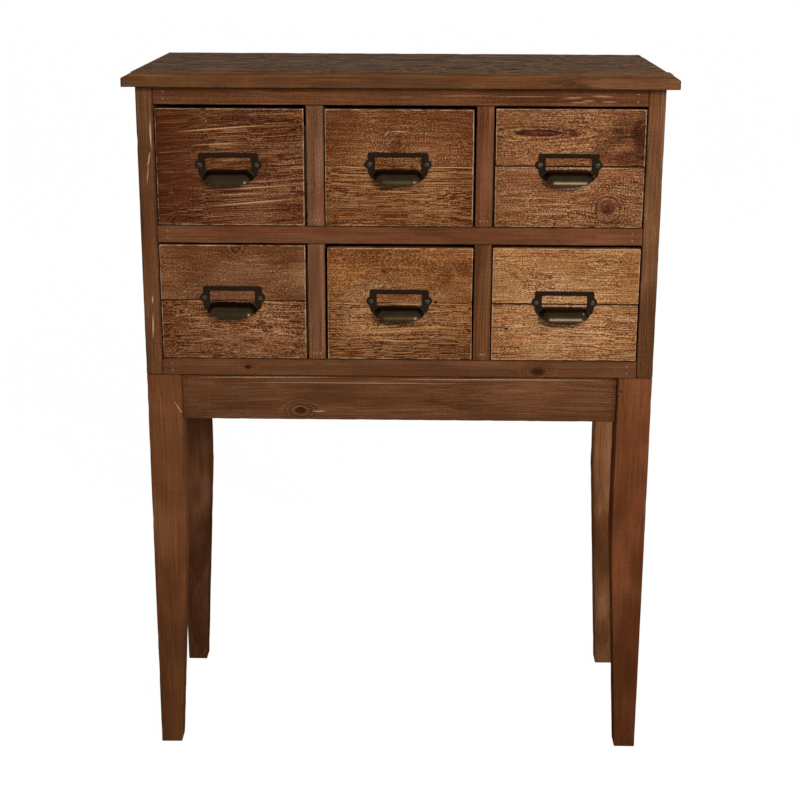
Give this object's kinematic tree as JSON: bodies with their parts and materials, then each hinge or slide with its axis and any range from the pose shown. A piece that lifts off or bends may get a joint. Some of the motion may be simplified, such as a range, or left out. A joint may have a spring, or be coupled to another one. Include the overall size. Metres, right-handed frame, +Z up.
{
  "type": "chest of drawers",
  "caption": "Stained fir apothecary chest: small drawers in two rows with bronze label pulls, on a stand with square tapered legs.",
  "frame": {"origin": "on the floor, under the middle of the overall width and depth, pulls included", "axes": "X to the right seen from the front, Y to the back, Z up; drawers open towards -Y"},
  "size_m": [0.68, 0.3228, 0.909],
  "materials": {
    "stained_fir": "brown stained and waxed reclaimed fir, worn at its edges",
    "drawer_front_fir": "lighter brown stained fir planks with knots, raised grain and rubbed edges",
    "drawer_box_wood": "plain sawn fir, lightly stained",
    "plywood": "thin board, lightly stained",
    "antique_bronze": "dark antique bronze plating on stamped sheet, half gloss",
    "worn_steel": "dull zinc-plated steel"
  },
  "bodies": {
    "chest": {"top_board": "stained_fir", "left_side_panel": "stained_fir", "right_side_panel": "stained_fir", "back_panel": "plywood", "bottom_board": "plywood", "middle_shelf": "plywood", "top_rail": "stained_fir", "middle_rail": "stained_fir", "bottom_rail": "stained_fir", "top_batten": "drawer_box_wood", "mullions": "stained_fir", "partitions": "plywood", "drawer_runners": "drawer_box_wood", "drawer_guides": "drawer_box_wood", "front_left_leg": "stained_fir", "front_right_leg": "stained_fir", "back_left_leg": "stained_fir", "back_right_leg": "stained_fir", "front_apron": "stained_fir", "back_apron": "stained_fir", "side_aprons": "stained_fir", "corner_blocks": "drawer_box_wood", "case_screws": "worn_steel", "brad_nails": "worn_steel"},
    "lower_left_drawer": {"lower_left_drawer_front": "drawer_front_fir", "lower_left_drawer_sides": "drawer_box_wood", "lower_left_drawer_back": "drawer_box_wood", "lower_left_drawer_bottom": "plywood", "lower_left_drawer_pull": "antique_bronze", "lower_left_drawer_screws": "worn_steel"},
    "lower_middle_drawer": {"lower_middle_drawer_front": "drawer_front_fir", "lower_middle_drawer_sides": "drawer_box_wood", "lower_middle_drawer_back": "drawer_box_wood", "lower_middle_drawer_bottom": "plywood", "lower_middle_drawer_pull": "antique_bronze", "lower_middle_drawer_screws": "worn_steel"},
    "lower_right_drawer": {"lower_right_drawer_front": "drawer_front_fir", "lower_right_drawer_sides": "drawer_box_wood", "lower_right_drawer_back": "drawer_box_wood", "lower_right_drawer_bottom": "plywood", "lower_right_drawer_pull": "antique_bronze", "lower_right_drawer_screws": "worn_steel"},
    "upper_left_drawer": {"upper_left_drawer_front": "drawer_front_fir", "upper_left_drawer_sides": "drawer_box_wood", "upper_left_drawer_back": "drawer_box_wood", "upper_left_drawer_bottom": "plywood", "upper_left_drawer_pull": "antique_bronze", "upper_left_drawer_screws": "worn_steel"},
    "upper_middle_drawer": {"upper_middle_drawer_front": "drawer_front_fir", "upper_middle_drawer_sides": "drawer_box_wood", "upper_middle_drawer_back": "drawer_box_wood", "upper_middle_drawer_bottom": "plywood", "upper_middle_drawer_pull": "antique_bronze", "upper_middle_drawer_screws": "worn_steel"},
    "upper_right_drawer": {"upper_right_drawer_front": "drawer_front_fir", "upper_right_drawer_sides": "drawer_box_wood", "upper_right_drawer_back": "drawer_box_wood", "upper_right_drawer_bottom": "plywood", "upper_right_drawer_pull": "antique_bronze", "upper_right_drawer_screws": "worn_steel"}
  },
  "joints": [
    {"name": "lower_left_drawer_slide", "type": "slide", "parent": "chest", "child": "lower_left_drawer", "axis": [0, -1, 0], "range_m": [0, 0.2]},
    {"name": "lower_middle_drawer_slide", "type": "slide", "parent": "chest", "child": "lower_middle_drawer", "axis": [0, -1, 0], "range_m": [0, 0.2]},
    {"name": "lower_right_drawer_slide", "type": "slide", "parent": "chest", "child": "lower_right_drawer", "axis": [0, -1, 0], "range_m": [0, 0.2]},
    {"name": "upper_left_drawer_slide", "type": "slide", "parent": "chest", "child": "upper_left_drawer", "axis": [0, -1, 0], "range_m": [0, 0.2]},
    {"name": "upper_middle_drawer_slide", "type": "slide", "parent": "chest", "child": "upper_middle_drawer", "axis": [0, -1, 0], "range_m": [0, 0.2]},
    {"name": "upper_right_drawer_slide", "type": "slide", "parent": "chest", "child": "upper_right_drawer", "axis": [0, -1, 0], "range_m": [0, 0.2]}
  ]
}
